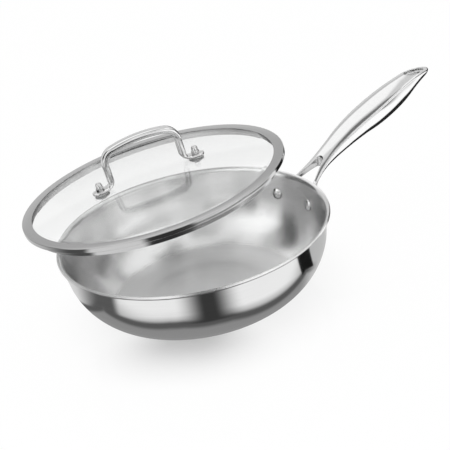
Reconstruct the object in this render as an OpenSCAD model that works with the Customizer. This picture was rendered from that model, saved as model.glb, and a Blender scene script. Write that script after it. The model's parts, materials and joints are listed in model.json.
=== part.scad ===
// Deep frying pan in three bonded metal layers, with a hollow cast handle on two rivets
// and a domed glass lid in a steel band. All lengths are in millimetres.
// The origin is the centre of the pan's base, +Z is up and +X runs along the long handle.
// The lid is shown lifted and drawn back; it seats when it turns back about a far level axis.

/* [Pan] */
// Outside diameter of the flared lip
rim_d = 272; // [260:1:290]
// Height from the base to the top of the lip
pan_h = 79; // [70:1:90]
// Distance in from the lip's edge to the edge of the flat base
base_inset = 73; // [66:0.5:78]
// Thickness of each steel layer
steel_t = 0.5; // [0.4:0.1:0.8]
// Thickness of the aluminium core between the steel layers
core_t = 1.5; // [1:0.1:2.5]
// Lean of the straight wall from upright, in degrees
wall_lean = 11.3; // [8:0.1:14]
// Radius of the lip's flare on its outer side
lip_r = 4; // [3:0.5:6]
// Angle from upright at which the flare ends, in degrees
lip_end = 75; // [60:1:80]

/* [Long handle] */
// Distance from the lip's edge to where the prongs leave their feet
handle_gap = 4; // [3:0.5:6]
// Length from the feet of the prongs to the tip
handle_len = 189; // [175:1:203]
// Greatest width of the grip
handle_w = 32; // [28:0.5:36]
// Greatest depth of the grip under its side ridges
handle_depth = 24; // [20:0.5:27]
// Height of the grip's highest ridge above the lip
handle_rise = 52; // [44:1:60]
// Wall of the hollow grip
grip_wall = 2.4; // [2:0.1:3]
// Length from the feet of the prongs to the centre of the fork's round end
fork_len = 22.5; // [21:0.5:25]
// Radius of the fork's round end
fork_r = 5.7; // [5:0.1:6.5]
// Half-angle at which the fork opens towards the pan, in degrees
fork_spread = 21; // [19.5:0.1:22]
// Radius of the hanging hole
hang_r = 3; // [2:0.1:3.5]
// Distance from the tip to the hanging hole's axis
hang_inset = 12; // [11:0.5:14]
// Thickness of the flat floor around the hanging hole
hang_floor_t = 3.5; // [3:0.1:4]

/* [Handle rivets] */
// Angle of each rivet from the handle's line, in degrees
rivet_spread = 11.5; // [11:0.1:12.5]
// Depth of the rivets below the top of the lip
rivet_drop = 23.5; // [22:0.5:26]
// Radius of the rivet's shank
rivet_r = 2.5; // [2:0.1:3]
// Radius of the domed head inside the pan
rivet_head_r = 6; // [5:0.1:6.5]
// Height of the domed head
rivet_head_h = 2.8; // [2:0.1:3.5]
// Radius of the flat formed end outside the pad
rivet_tail_r = 4.6; // [4:0.1:5]
// Height of the formed end
rivet_tail_h = 1.6; // [1:0.1:2]
// Radius of the round foot of each riveted pad
pad_r = 8.5; // [8:0.1:9.5]
// Thickness of each riveted pad
pad_t = 4; // [3:0.1:5]
// Radius of the narrow upper end of each pad
pad_top_r = 5; // [4.5:0.1:6]
// Height of the upper end above its rivet
pad_up = 10; // [9:0.5:11]
// Sideways place of the upper end, towards the handle's line
pad_in = 3; // [2:0.1:4]
// Chamfer round each pad
pad_edge = 1; // [0.5:0.1:1.5]

/* [Lid] */
// How far the lid's edge lies in from the lip's edge
lid_inset = 3.5; // [3:0.1:4]
// Width of the band's flat top
band_w = 10; // [9:0.5:12]
// Sheet thickness of the band
band_t = 0.5; // [0.4:0.1:0.8]
// Distance from the band's edge to the outside of its hanging skirt
skirt_inset = 7; // [6.5:0.1:8]
// Depth of the skirt under the band
skirt_h = 6.5; // [4:0.5:7]
// Thickness of the glass
glass_t = 3.5; // [3:0.1:5]
// Height of the glass dome over its flat edge
dome_h = 10; // [8:0.5:16]
// Width of the glass's flat edge inside the band
glass_rim_w = 12; // [11.5:0.5:14]
// Play between the glass's edge and the band
glass_play = 0.3; // [0.2:0.1:0.5]

/* [Lid handle] */
// Direction of the loop from the long handle, in degrees
loop_azimuth = -18; // [-40:1:20]
// Distance between the middles of the two legs
leg_span = 75; // [68:1:78]
// Distance from the middle of a leg to its cap nut
foot_reach = 12; // [11.5:0.5:14]
// Height of the arch's middle line over the dome's edge plane
arch_h = 49; // [42:1:56]
// Thickness of the bar, seen from the side
bar_t = 6.5; // [5:0.1:7.5]
// Width of the bar over the arch
bar_w = 12.5; // [11:0.1:14]
// Width of the bar at its legs
leg_w = 10.5; // [9:0.1:12]
// Thickness of the flattened feet
foot_t = 2.6; // [2:0.1:3]
// Width of the flattened feet
foot_w = 14; // [13:0.1:16]
// Length of a foot beyond its nut's middle
foot_end = 8.5; // [8:0.1:10]
// Radius of the arch's corners along the bar's middle
corner_bend_r = 13; // [11:0.5:15]
// Radius of the bend into each foot along the bar's middle
foot_bend_r = 6; // [5:0.1:6.5]
// Slope of the arch where its corners begin, in degrees
arch_fall = 12; // [8:1:16]

/* [Lid fasteners] */
// Radius of the lid screws' shanks
screw_r = 2; // [1.8:0.1:2.5]
// Radius of the screws' heads under the lid
screw_head_r = 4.2; // [4:0.1:5]
// Height of the screws' heads
screw_head_h = 2.4; // [2:0.1:3]
// Radius of the soft gaskets above and below the glass
gasket_r = 7.5; // [7:0.1:8.5]
// Thickness of the gaskets
gasket_t = 1; // [0.8:0.1:1.5]
// Radius of the steel washers
washer_r = 6; // [5.5:0.1:7]
// Thickness of the steel washers
washer_t = 1; // [0.8:0.1:1.2]
// Width of the cap nuts across their flats
nut_af = 7; // [7:0.1:8]
// Height of the cap nuts' six-sided part
nut_hex_h = 3.2; // [3:0.1:4.5]
// Radius of the cap nuts' round cap
nut_cap_r = 3.2; // [3.1:0.1:3.4]
// Height of the straight part of the round cap
nut_cap_h = 1.8; // [1.5:0.1:3]

/* [Lift] */
// Angle by which the lid is lifted from its seat, in degrees
lift_angle = 6.4; // [5:0.1:8]
// Direction in which the lid's raised side points from the long handle, in degrees
lift_azimuth = -55; // [-70:1:-40]
// Distance of the lift's level axis from the pan's axis
lift_reach = 427; // [410:1:440]
// Depth of the lift's level axis under the base
lift_drop = 184; // [170:1:200]

/* [Hidden] */
// Clearance of pieces that lie flat on each other
seat = 0.1;
// Clearance of a screw's end in its nut
end_seat = 0.3;
// Clearance between the lid's edge and the flared lip it sits in
lid_seat = 0.3;
// Clearance of the handle's pads from the pan's wall
pad_seat = 0.1;
// Radial clearance of shanks in their holes
hole_play = 0.15;
// Radial clearance of the screws in the cap nuts
thread_play = 0.05;
// Overrun of every cut
cut = 1;
// Steps in the pan's round corner, the lip and the dome
corner_steps = 18;
lip_steps = 8;
dome_steps = 12;
// Steps round a lathe-turned piece
turn_steps = 144;

wall_t = 2 * steel_t + core_t;
rim_r = rim_d / 2;
base_r = rim_r - base_inset;
// Distance from the pan's axis to where the prongs leave their feet, and to the fork's round end
handle_start = rim_r + handle_gap;
fork_x = handle_start + fork_len;
// Centre of the lip's flare, which lies outside and below the lip
lip_cx = rim_r + lip_r * cos(lip_end);
lip_cz = pan_h - (lip_r + wall_t) * sin(lip_end);
// Where the outer side's straight wall meets the flare
neck_x = lip_cx - lip_r * cos(wall_lean);
neck_z = lip_cz + lip_r * sin(wall_lean);
// Radius of the round corner that joins the base to the straight wall
corner_r = (neck_x - neck_z * tan(wall_lean) - base_r)
    / (cos(wall_lean) - tan(wall_lean) * (1 - sin(wall_lean)));

// Points of the pan's section at a depth under its outer side, from the middle of the base to the lip
function wall_line(depth) = concat(
    [[0, depth]],
    [for (i = [0:corner_steps])
        let (a = 90 - i * (90 - wall_lean) / corner_steps)
        [base_r + (corner_r - depth) * cos(a), corner_r - (corner_r - depth) * sin(a)]],
    [for (i = [0:lip_steps])
        let (a = wall_lean + i * (lip_end - wall_lean) / lip_steps)
        [lip_cx - (lip_r + depth) * cos(a), lip_cz + (lip_r + depth) * sin(a)]]
);
function reversed(list) = [for (i = [len(list) - 1:-1:0]) list[i]];

// Height at which the round corner meets the straight wall
corner_top = corner_r * (1 - sin(wall_lean));

// Lean of the outer wall from upright at a height, and its radius there
function lean_at(z) = z < corner_top ? asin(1 - z / corner_r) : wall_lean;
function wall_x(z) =
    z < corner_top
        ? base_r + corner_r * cos(lean_at(z))
        : neck_x - (neck_z - z) * tan(wall_lean);

// Smooth value of an evenly spaced table at a share from 0 to 1 of its length
function smooth_at(table, share) =
    let (
        last = len(table) - 1,
        i = min(floor(share * last), last - 1),
        t = share * last - i,
        p1 = table[i],
        p2 = table[i + 1],
        p0 = i == 0 ? 2 * p1 - p2 : table[i - 1],
        p3 = i == last - 1 ? 2 * p2 - p1 : table[i + 2]
    )
    p1 + t * (p2 - p0 + t * (2 * p0 - 5 * p1 + 4 * p2 - p3 + t * (3 * (p1 - p2) + p3 - p0))) / 2;

// Long handle from its prongs to the tip, in nine equal stretches
rise_share = [-0.225, 0.022, 0.252, 0.443, 0.594, 0.719, 0.834, 0.929, 0.988, 0.965];
width_share = [1.18, 0.82, 0.74, 0.88, 0.98, 1, 0.94, 0.81, 0.68, 0.42];
depth_share = [0.22, 0.31, 0.52, 0.67, 0.8, 0.95, 1, 0.9, 0.53, 0.1];
// Height of the handle's crowned top over its ridges, as a share of its width
crown_share = 0.1;
// Part of the handle's length in which its tip rounds off
tip_share = 0.05;
// Angle to which the rounded tip is drawn, in degrees
tip_turn = 80;
handle_steps = 36;
// Length of a prong that its foot takes in
prong_lap = 1.5;
tip_steps = 5;
section_steps = 24;
// How square the underside is: 1 is an ellipse, less is squarer
under_square = 0.8;
// Hollow of the grip, as shares of the handle's length
hollow_from_share = 0.22;
hollow_to_share = 0.8;
// Size of the hollow's flat ends, as a share of its full section
hollow_end_share = 0.2;
hollow_steps = 16;
// Weep hole under the grip, which opens the hollow to the air
vent_r = 1.2;
vent_share = 0.3;

// Section of the long handle, thinned by an inset, at a share of its length and an end rounding
function handle_ring(share, inset, round_off) =
    let (
        half_w = (handle_w * smooth_at(width_share, share) / 2 - inset) * round_off,
        depth = (handle_depth * smooth_at(depth_share, share) - inset) * round_off,
        crown = handle_w * smooth_at(width_share, share) * crown_share * round_off,
        ridge = pan_h + handle_rise * smooth_at(rise_share, share) - inset / 2
    )
    [for (i = [0:section_steps - 1])
        let (a = -i * 360 / section_steps, c = cos(a), s = sin(a))
        s >= 0
            ? [handle_start + handle_len * share, half_w * c, ridge + (crown - inset / 2) * s * s]
            : [handle_start + handle_len * share,
                half_w * sign(c) * pow(abs(c), under_square),
                ridge - depth * pow(-s, under_square)]];

// Solid through a list of rings that have equally many points
module skin(rings) {
    n = len(rings);
    k = len(rings[0]);
    polyhedron(
        points = [for (ring = rings) each ring],
        faces = concat(
            [[for (j = [k - 1:-1:0]) j]],
            [for (i = [0:n - 2], j = [0:k - 1])
                let (a = i * k + j, b = i * k + (j + 1) % k)
                each [[a, b, b + k], [a, b + k, a + k]]],
            [[for (j = [0:k - 1]) (n - 1) * k + j]]
        ),
        convexity = 6
    );
}

// Turned solid between two depths of the pan's wall
module pan_layer(from, to) {
    rotate_extrude($fn = turn_steps)
        polygon(concat(wall_line(from), reversed(wall_line(to))));
}

// The filled shape of the pan, grown by a gap
module pan_envelope(gap) {
    rotate_extrude($fn = turn_steps)
        polygon(concat(wall_line(-gap), [[0, pan_h + cut]]));
}

// Puts its children on a rivet's axis: the middle of the wall's outer side is at 0 and +Z points out
module at_rivet(side) {
    z = pan_h - rivet_drop;
    rotate([0, 0, side * rivet_spread])
        translate([wall_x(z), 0, z])
            rotate([0, 90 + lean_at(z), 0])
                children();
}

module rivet_holes() {
    for (side = [-1, 1])
        at_rivet(side)
            translate([0, 0, -wall_t - 2 * cut])
                cylinder(r = rivet_r + hole_play, h = wall_t + pad_t + 4 * cut, $fn = 48);
}

module inner_steel_layer() {
    color([0.78, 0.78, 0.78])
        difference() {
            pan_layer(wall_t - steel_t, wall_t);
            rivet_holes();
        }
}

module aluminium_core() {
    color([0.85, 0.86, 0.88])
        difference() {
            pan_layer(steel_t, wall_t - steel_t);
            rivet_holes();
        }
}

module outer_steel_layer() {
    color([0.7, 0.7, 0.72])
        difference() {
            pan_layer(0, steel_t);
            rivet_holes();
        }
}

// Fork between the handle's two prongs, open towards the pan
module fork_gap() {
    tip_x = fork_x + fork_r * sin(fork_spread);
    tip_y = fork_r * cos(fork_spread);
    wide_x = handle_start - cut;
    wide_y = tip_y + (tip_x - wide_x) * tan(fork_spread);
    linear_extrude(height = 2 * pan_h) {
        translate([fork_x, 0])
            circle(r = fork_r, $fn = 64);
        polygon([[tip_x, tip_y], [wide_x, wide_y], [wide_x, -wide_y], [tip_x, -tip_y]]);
    }
}

// Outside of the handle from the prongs' feet to the tip
module handle_body() {
    skin(concat(
        [for (i = [0:handle_steps]) handle_ring(i * (1 - tip_share) / handle_steps, 0, 1)],
        [for (i = [1:tip_steps])
            let (a = i * tip_turn / tip_steps)
            handle_ring(1 - tip_share * (1 - sin(a)), 0, cos(a))]
    ));
}

module forked_body() {
    difference() {
        handle_body();
        fork_gap();
    }
}

// Round end of a riveted pad, chamfered on its outside and sunk past the pan's wall
module pad_disc(radius) {
    translate([0, 0, -pad_t]) {
        cylinder(r = radius, h = 2 * pad_t - pad_edge, $fn = 32);
        cylinder(r = radius - pad_edge, h = 2 * pad_t, $fn = 32);
    }
}

module pad_top(side) {
    at_rivet(side)
        translate([-pad_up, -side * pad_in, 0])
            pad_disc(pad_top_r);
}

// Riveted pad, and the foot that joins it to the end of its prong
module prong_foot(side) {
    hull() {
        at_rivet(side)
            pad_disc(pad_r);
        pad_top(side);
    }
    hull() {
        pad_top(side);
        intersection() {
            forked_body();
            translate([handle_start, side > 0 ? 0 : -handle_w, 0])
                cube([prong_lap, handle_w, 2 * pan_h]);
        }
    }
}

// Flat pocket in the handle's top around the hanging hole, wider towards the grip
hang_x = handle_start + handle_len - hang_inset;
hang_share = 1 - hang_inset / handle_len;
// Slope of the pocket's floor, which follows the ridges beside it, in degrees
pocket_slope = 1;
// Radius of the pocket at the hole, and of its wide end
pocket_r = 5.2;
pocket_wide_r = 8.3;
// Distance from the hole to the centre of the wide end
pocket_len = 10.5;
// Radius of the round facing under the hole, and its depth over the underside at the hole's axis
facing_r = 4.6;
facing_up = 2.4;
// Height of the facing, where the hole's wall begins
hang_z = pan_h + handle_rise * smooth_at(rise_share, hang_share)
    - handle_depth * smooth_at(depth_share, hang_share) + facing_up;

module hang_pocket() {
    translate([hang_x, 0, hang_z])
        rotate([0, -pocket_slope, 0]) {
            translate([0, 0, hang_floor_t])
                linear_extrude(height = handle_depth)
                    hull() {
                        circle(r = pocket_r, $fn = 48);
                        translate([-pocket_len, 0])
                            circle(r = pocket_wide_r, $fn = 48);
                    }
            translate([0, 0, -handle_depth])
                cylinder(r = facing_r, h = handle_depth, $fn = 48);
            translate([0, 0, -handle_depth])
                cylinder(r = hang_r, h = 2 * handle_depth, $fn = 48);
        }
}

module weep_hole() {
    translate([
        handle_start + handle_len * vent_share,
        0,
        pan_h + handle_rise * smooth_at(rise_share, vent_share) - handle_depth
    ])
        cylinder(r = vent_r, h = handle_depth - grip_wall, $fn = 24);
}

module long_handle() {
    color([0.75, 0.75, 0.76])
        difference() {
            union() {
                forked_body();
                for (side = [-1, 1])
                    prong_foot(side);
            }
            skin([for (i = [0:hollow_steps])
                let (
                    a = 180 * i / hollow_steps,
                    mid = (1 - cos(a)) / 2,
                    share = hollow_from_share + (hollow_to_share - hollow_from_share) * mid
                )
                handle_ring(share, grip_wall, hollow_end_share + (1 - hollow_end_share) * sqrt(sin(a)))]);
            pan_envelope(pad_seat);
            rivet_holes();
            for (side = [-1, 1])
                at_rivet(side)
                    translate([0, 0, pad_t])
                        cylinder(r = rivet_tail_r + 2 * hole_play, h = 2 * pad_t, $fn = 48);
            hang_pocket();
            weep_hole();
        }
}

// Points of a dome's section: radius, rise and height of its rim
function dome_line(radius, rise, foot_z, steps) =
    [for (i = [0:steps])
        [radius * sin(90 * i / steps), foot_z + rise * cos(90 * i / steps)]];

// Clearance of a rivet's flat head, which the wall's round corner may curve away from
head_seat = seat + rivet_head_r * rivet_head_r / (2 * (corner_r - wall_t));

module rivet(side) {
    at_rivet(side)
        rotate_extrude($fn = 48)
            polygon(concat(
                [for (p = reversed(dome_line(rivet_head_r, rivet_head_h, 0, dome_steps)))
                    [p[0], -wall_t - head_seat - p[1]]],
                [
                    [0, pad_t + seat + rivet_tail_h],
                    [rivet_tail_r - rivet_tail_h / 2, pad_t + seat + rivet_tail_h],
                    [rivet_tail_r, pad_t + seat + rivet_tail_h / 2],
                    [rivet_tail_r, pad_t + seat],
                    [rivet_r, pad_t + seat],
                    [rivet_r, -wall_t - head_seat]
                ]
            ));
}

module rivet_left() {
    color([0.82, 0.82, 0.82])
        rivet(1);
}

module rivet_right() {
    color([0.82, 0.82, 0.82])
        rivet(-1);
}

// Lid, drawn closed about the pan's axis with 0 at the underside of its band
lid_r = rim_r - lid_inset;
band_h = glass_t + 2 * band_t;
// Height of the band's underside when its edge sits in the flared lip
lid_z = lip_cz + sqrt(pow(lip_r + wall_t, 2) - pow(lip_cx - lid_r, 2)) + lid_seat;
dome_r = lid_r - glass_rim_w;
dome_z = band_t + glass_t;
sphere_r = (dome_r * dome_r + dome_h * dome_h) / (2 * dome_h);
sphere_z = dome_z + dome_h - sphere_r;
// Distance between the two cap nuts, and the slope of the glass under them
foot_span = leg_span + 2 * foot_reach;
foot_tilt = asin(foot_span / 2 / sphere_r);

// Turns the closed lid about the lift's far level axis into the place where it is held
module lift_lid() {
    axis = [sin(lift_azimuth), -cos(lift_azimuth), 0];
    anchor = [lift_reach * -cos(lift_azimuth), lift_reach * -sin(lift_azimuth), -lift_drop];
    translate(anchor)
        rotate(a = lift_angle, v = axis)
            translate(-anchor)
                translate([0, 0, lid_z])
                    children();
}

// Puts its children on a nut's axis, with 0 on the glass's outer side
module at_foot(side) {
    rotate([0, 0, loop_azimuth])
        translate([0, 0, sphere_z])
            rotate([0, side * foot_tilt, 0])
                translate([0, 0, sphere_r])
                    children();
}

// Both sides of the glass from the middle to the start of its flat edge
function glass_line(radius, foot_z) =
    let (turn = asin(sqrt(radius * radius - pow(foot_z - sphere_z, 2)) / radius))
    [for (i = [0:dome_steps])
        let (a = i * turn / dome_steps)
        [radius * sin(a), sphere_z + radius * cos(a)]];

module lid_glass() {
    edge_r = lid_r - band_t - glass_play;
    color([0.85, 0.92, 0.92, 0.35])
        lift_lid()
            difference() {
                rotate_extrude($fn = turn_steps)
                    polygon(concat(
                        glass_line(sphere_r, dome_z),
                        [[edge_r, dome_z], [edge_r, band_t]],
                        reversed(glass_line(sphere_r - glass_t, band_t))
                    ));
                for (side = [-1, 1])
                    at_foot(side)
                        translate([0, 0, -glass_t - cut])
                            cylinder(r = screw_r + 2 * hole_play, h = glass_t + 2 * cut, $fn = 48);
            }
}

module lid_band() {
    skirt_r = lid_r - skirt_inset;
    top_r = lid_r - band_w;
    color([0.72, 0.72, 0.73])
        lift_lid()
            rotate_extrude($fn = turn_steps)
                polygon([
                    [skirt_r, -skirt_h],
                    [skirt_r, 0],
                    [lid_r - band_t, 0],
                    [lid_r, band_t],
                    [lid_r, band_h - band_t],
                    [lid_r - band_t, band_h],
                    [top_r, band_h],
                    [top_r, band_h - band_t],
                    [lid_r - band_t, band_h - band_t],
                    [lid_r - band_t, band_t],
                    [skirt_r - band_t, band_t],
                    [skirt_r - band_t, -skirt_h]
                ]);
}

// Middle line of half the loop, from the arch's top to the end of a foot: [along, up, width, thickness]
foot_mid = seat + gasket_t + foot_t / 2;
leg_x = leg_span / 2;
arch_top = dome_z + arch_h;
// Radius of the gently curved arch, from its slope and the corner where the leg's line is met
arch_r = (leg_x - corner_bend_r * (1 - sin(arch_fall))) / sin(arch_fall);
corner_x = leg_x - corner_bend_r;
corner_z = arch_top - arch_r * (1 - cos(arch_fall)) - corner_bend_r * cos(arch_fall);
foot_x = (sphere_r + foot_mid) * sin(foot_tilt);
foot_z = sphere_z + (sphere_r + foot_mid) * cos(foot_tilt);
bend_x = leg_x + foot_bend_r;
bend_end_x = bend_x - foot_bend_r * sin(foot_tilt);
bend_z = foot_bend_r * cos(foot_tilt) + foot_z + (foot_x - bend_end_x) * tan(foot_tilt);
arch_steps = 5;
bend_steps = 6;
foot_steps = 4;
// Length in which a foot's end rounds off, which makes it a half circle
foot_round = foot_w / 2;
foot_len = foot_x + foot_end * cos(foot_tilt) - bend_end_x;

function loop_half() = concat(
    [for (i = [1:arch_steps])
        let (a = arch_fall * i / arch_steps)
        [arch_r * sin(a), arch_top - arch_r * (1 - cos(a)), bar_w, bar_t]],
    [for (i = [1:bend_steps])
        let (t = i / bend_steps, a = arch_fall + (90 - arch_fall) * t)
        [corner_x + corner_bend_r * sin(a), corner_z + corner_bend_r * cos(a),
            bar_w + (leg_w - bar_w) * t, bar_t]],
    [[leg_x, (corner_z + bend_z) / 2, leg_w, bar_t]],
    [for (i = [0:bend_steps])
        let (t = i / bend_steps, a = (90 - foot_tilt) * t)
        [bend_x - foot_bend_r * cos(a), bend_z - foot_bend_r * sin(a),
            leg_w + (foot_w - leg_w) * t * t, bar_t + (foot_t - bar_t) * sin(90 * t)]],
    [for (i = [1:foot_steps])
        let (d = (foot_len - foot_round) * i / foot_steps)
        [bend_end_x + d, bend_z - foot_bend_r * cos(foot_tilt) - d * tan(foot_tilt), foot_w, foot_t]],
    [for (i = [1:foot_steps])
        let (a = tip_turn * i / foot_steps, d = foot_len - foot_round + foot_round * sin(a))
        [bend_end_x + d, bend_z - foot_bend_r * cos(foot_tilt) - d * tan(foot_tilt),
            foot_w * cos(a), foot_t]]
);

// The whole middle line, from one foot over the arch to the other
function loop_line() =
    let (half = loop_half())
    concat(
        [for (p = reversed(half)) [-p[0], p[1], p[2], p[3]]],
        [[0, arch_top, bar_w, bar_t]],
        half
    );

bar_points = 16;
// How square the bar's section is: 1 is an ellipse, less is squarer
bar_square = 0.6;

function squared(value) = sign(value) * pow(abs(value), bar_square);

module lid_handle() {
    line = loop_line();
    last = len(line) - 1;
    color([0.75, 0.75, 0.76])
        lift_lid()
            difference() {
                rotate([0, 0, loop_azimuth])
                    skin([for (i = [0:last])
                        let (
                            p = line[i],
                            d = line[min(i + 1, last)] - line[max(i - 1, 0)],
                            run = norm([d[0], d[1]]),
                            across = [-d[1], d[0]] / run
                        )
                        [for (j = [0:bar_points - 1])
                            let (
                                a = -j * 360 / bar_points,
                                out = p[3] / 2 * squared(sin(a))
                            )
                            [p[0] + across[0] * out, p[2] / 2 * squared(cos(a)), p[1] + across[1] * out]]]);
                for (side = [-1, 1])
                    at_foot(side)
                        cylinder(r = screw_r + hole_play, h = foot_mid + foot_t, $fn = 48);
            }
}

// A flat ring on a nut's axis
module ring(side, from, outer_r, thickness) {
    lift_lid()
        at_foot(side)
            translate([0, 0, from])
                difference() {
                    cylinder(r = outer_r, h = thickness, $fn = 64);
                    translate([0, 0, -cut])
                        cylinder(r = screw_r + hole_play, h = thickness + 2 * cut, $fn = 48);
                }
}

foot_top = seat + gasket_t + foot_t + seat;
under_glass = -glass_t - seat;

module upper_gasket(side) {
    color([0.3, 0.3, 0.3])
        ring(side, seat, gasket_r, gasket_t);
}

module lower_gasket(side) {
    color([0.3, 0.3, 0.3])
        ring(side, under_glass - gasket_t, gasket_r, gasket_t);
}

module washer(side) {
    color([0.7, 0.7, 0.7])
        ring(side, under_glass - gasket_t - washer_t, washer_r, washer_t);
}

module cap_nut(side) {
    bore_h = nut_hex_h + nut_cap_h;
    color([0.8, 0.8, 0.8])
        lift_lid()
            at_foot(side)
                translate([0, 0, foot_top])
                    difference() {
                        union() {
                            cylinder(r = nut_af / 2 / cos(30), h = nut_hex_h, $fn = 6);
                            cylinder(r = nut_cap_r, h = bore_h, $fn = 48);
                            translate([0, 0, bore_h])
                                intersection() {
                                    sphere(r = nut_cap_r, $fn = 48);
                                    cylinder(r = nut_cap_r + cut, h = nut_cap_r + cut, $fn = 48);
                                }
                        }
                        translate([0, 0, -cut])
                            cylinder(r = screw_r + thread_play, h = bore_h + cut, $fn = 48);
                    }
}

module lid_screw(side) {
    head_z = under_glass - gasket_t - washer_t;
    end_z = foot_top + nut_hex_h + nut_cap_h - end_seat;
    color([0.7, 0.7, 0.7])
        lift_lid()
            at_foot(side)
                rotate_extrude($fn = 48)
                    polygon(concat(
                        [for (p = reversed(dome_line(screw_head_r, screw_head_h, 0, dome_steps)))
                            [p[0], head_z - p[1]]],
                        [[0, end_z], [screw_r, end_z], [screw_r, head_z]]
                    ));
}

module cap_nut_left() { cap_nut(-1); }
module cap_nut_right() { cap_nut(1); }
module upper_gasket_left() { upper_gasket(-1); }
module upper_gasket_right() { upper_gasket(1); }
module lower_gasket_left() { lower_gasket(-1); }
module lower_gasket_right() { lower_gasket(1); }
module washer_left() { washer(-1); }
module washer_right() { washer(1); }
module lid_screw_left() { lid_screw(-1); }
module lid_screw_right() { lid_screw(1); }

inner_steel_layer();
aluminium_core();
outer_steel_layer();
long_handle();
rivet_left();
rivet_right();
lid_glass();
lid_band();
lid_handle();
cap_nut_left();
cap_nut_right();
upper_gasket_left();
upper_gasket_right();
lower_gasket_left();
lower_gasket_right();
washer_left();
washer_right();
lid_screw_left();
lid_screw_right();
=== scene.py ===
"""Looks of the deep frying pan with its glass lid. Every size is in millimetres in the frame of
the part, and each mesh is scaled to metres when it is made."""

import json
import math

import bpy
import numpy as np
from mathutils import Matrix, Vector


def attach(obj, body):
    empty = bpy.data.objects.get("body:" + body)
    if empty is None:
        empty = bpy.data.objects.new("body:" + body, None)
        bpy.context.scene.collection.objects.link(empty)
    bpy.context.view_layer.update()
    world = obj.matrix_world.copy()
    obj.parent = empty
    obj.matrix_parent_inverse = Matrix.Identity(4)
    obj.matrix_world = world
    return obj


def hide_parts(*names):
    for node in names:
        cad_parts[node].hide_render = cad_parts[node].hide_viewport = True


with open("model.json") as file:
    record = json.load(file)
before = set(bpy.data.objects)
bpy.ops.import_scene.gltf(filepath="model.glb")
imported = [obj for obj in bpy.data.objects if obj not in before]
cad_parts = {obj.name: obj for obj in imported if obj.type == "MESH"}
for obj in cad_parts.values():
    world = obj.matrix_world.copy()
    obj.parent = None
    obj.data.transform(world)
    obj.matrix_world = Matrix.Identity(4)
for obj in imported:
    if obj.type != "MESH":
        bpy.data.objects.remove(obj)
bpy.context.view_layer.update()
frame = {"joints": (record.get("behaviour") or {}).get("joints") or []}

MM = 0.001

# Pan
RIM_R = 136.0
PAN_H = 79.0
BASE_INSET = 73.0
BASE_R = RIM_R - BASE_INSET
STEEL_T = 0.5
CORE_T = 1.5
WALL_T = 2 * STEEL_T + CORE_T
WALL_LEAN = math.radians(11.3)
LIP_R = 4.0
LIP_END = math.radians(75)
# Radii between which the floor's finish turns into the wall's. On the floor the steel is rougher,
# and its darker tone there is painted shade
FINISH_AND_SHADE_CHANGE = (88.0, 97.0)

# Long handle
HANDLE_GAP = 4.0
HANDLE_START = RIM_R + HANDLE_GAP
HANDLE_LEN = 189.0
HANDLE_W = 32.0
HANDLE_DEPTH = 24.0
HANDLE_RISE = 52.0
RISE_SHARE = [-0.225, 0.022, 0.252, 0.443, 0.594, 0.719, 0.834, 0.929, 0.988, 0.965]
WIDTH_SHARE = [1.18, 0.82, 0.74, 0.88, 0.98, 1, 0.94, 0.81, 0.68, 0.42]
DEPTH_SHARE = [0.22, 0.31, 0.52, 0.67, 0.8, 0.95, 1, 0.9, 0.53, 0.1]
CROWN_SHARE = 0.1
TIP_SHARE = 0.05
UNDER_POWER = 2.5
FORK_REACH = 22.5
FORK_X = HANDLE_START + FORK_REACH
FORK_R = 5.7
FORK_SPREAD = math.radians(21)
HANG_R = 3.0
HANG_INSET = 12.0
HANG_FLOOR_T = 3.5
POCKET_SLOPE = math.radians(1)
POCKET_R = 5.2
POCKET_WIDE_R = 8.3
POCKET_LEN = 10.5
FACING_R = 4.6
FACING_UP = 2.4
VENT_R = 1.2
VENT_SHARE = 0.3
VENT_DEPTH = 3.0

# Rounding of the long handle's edges and of the places where its parts join
BODY_EDGE = 1.6
END_EDGE = 1.0
FORK_EDGE = 1.6
PAD_BACK_EDGE = 0.3
POCKET_FLOOR_EDGE = 0.8
POCKET_EDGE = 1.0
HOLE_EDGE = 0.6
VENT_EDGE = 0.4
NECK_JOIN = 2.0
FOOT_JOIN = 3.0

# Handle rivets and the pads they hold
RIVET_SPREAD = math.radians(11.5)
RIVET_DROP = 23.5
RIVET_Z = PAN_H - RIVET_DROP
RIVET_R = 2.5
RIVET_HEAD_R = 6.0
RIVET_HEAD_H = 2.8
RIVET_TAIL_R = 4.6
RIVET_TAIL_H = 1.6
PAD_R = 8.5
PAD_T = 4.0
PAD_TOP_R = 5.0
PAD_UP = 10.0
PAD_IN = 3.0
PAD_EDGE = 1.0

# Lid
LID_INSET = 3.5
LID_R = RIM_R - LID_INSET
BAND_W = 10.0
BAND_T = 0.5
SKIRT_INSET = 7.0
SKIRT_H = 6.5
GLASS_T = 3.5
DOME_H = 10.0
GLASS_RIM_W = 12.0
GLASS_PLAY = 0.3

# Lid handle
LOOP_AZIMUTH = math.radians(-18)
LEG_SPAN = 75.0
FOOT_OUT = 12.0
FOOT_SPAN = LEG_SPAN + 2 * FOOT_OUT
ARCH_H = 49.0
BAR_T = 6.5
BAR_W = 12.5
LEG_W = 10.5
FOOT_T = 2.6
FOOT_W = 14.0
FOOT_END = 8.5
CORNER_BEND_R = 13.0
FOOT_BEND_R = 6.0
ARCH_FALL = math.radians(12)
BAR_SQUARE = 0.6
FOOT_ROUND_TURN = math.radians(88)

# Lid fasteners
SCREW_R = 2.0
SCREW_HEAD_R = 4.2
SCREW_HEAD_H = 2.4
SOCKET_R = 1.25
SOCKET_DEPTH = 1.4
SCREW_CHAMFER = 0.3
GASKET_R = 7.5
GASKET_T = 1.0
GASKET_ROUND = 0.3
WASHER_R = 6.0
WASHER_T = 1.0
WASHER_ROUND = 0.15
NUT_AF = 7.0
NUT_HEX_H = 3.2
NUT_CAP_R = 3.2
NUT_CAP_H = 1.8
NUT_CHAMFER = 0.5

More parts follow.
